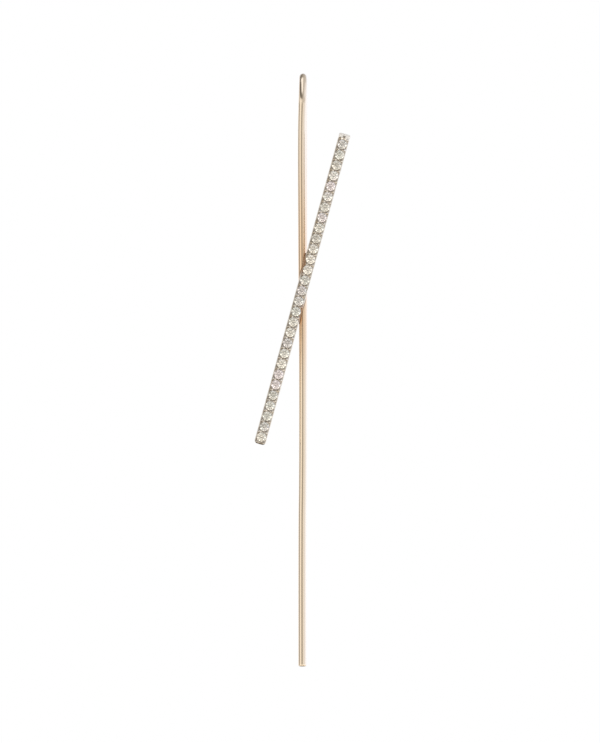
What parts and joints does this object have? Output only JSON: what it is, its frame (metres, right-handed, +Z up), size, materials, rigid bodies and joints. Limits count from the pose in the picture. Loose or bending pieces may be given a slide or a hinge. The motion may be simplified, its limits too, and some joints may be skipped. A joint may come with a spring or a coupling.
{
  "type": "needle earring",
  "caption": "Drop earring: a long straight gold needle bent over into an ear hook, with a slim leaning bar of round brilliants soldered across its front.",
  "frame": {"origin": "the inside of the hook's bend at its crest, where the earring hangs in the ear", "axes": "+Z up along the needle, -Y the front where the stones face, +X to the right as seen from the front"},
  "size_m": [0.0106, 0.0082, 0.0659],
  "materials": {
    "rose_gold": "mirror polish",
    "white_rhodium": "bright-cut and plated, on the stone face",
    "diamond": "brilliant cut, polished facets"
  },
  "bodies": {
    "root": {"earring_metal": "rose_gold", "stone_01": "diamond", "stone_02": "diamond", "stone_03": "diamond", "stone_04": "diamond", "stone_05": "diamond", "stone_06": "diamond", "stone_07": "diamond", "stone_08": "diamond", "stone_09": "diamond", "stone_10": "diamond", "stone_11": "diamond", "stone_12": "diamond", "stone_13": "diamond", "stone_14": "diamond", "stone_15": "diamond", "stone_16": "diamond", "stone_17": "diamond", "stone_18": "diamond", "stone_19": "diamond", "stone_20": "diamond", "stone_21": "diamond", "stone_22": "diamond", "stone_23": "diamond", "stone_24": "diamond", "stone_25": "diamond", "stone_26": "diamond", "stone_27": "diamond", "stone_28": "diamond", "stone_29": "diamond"}
  },
  "joints": []
}
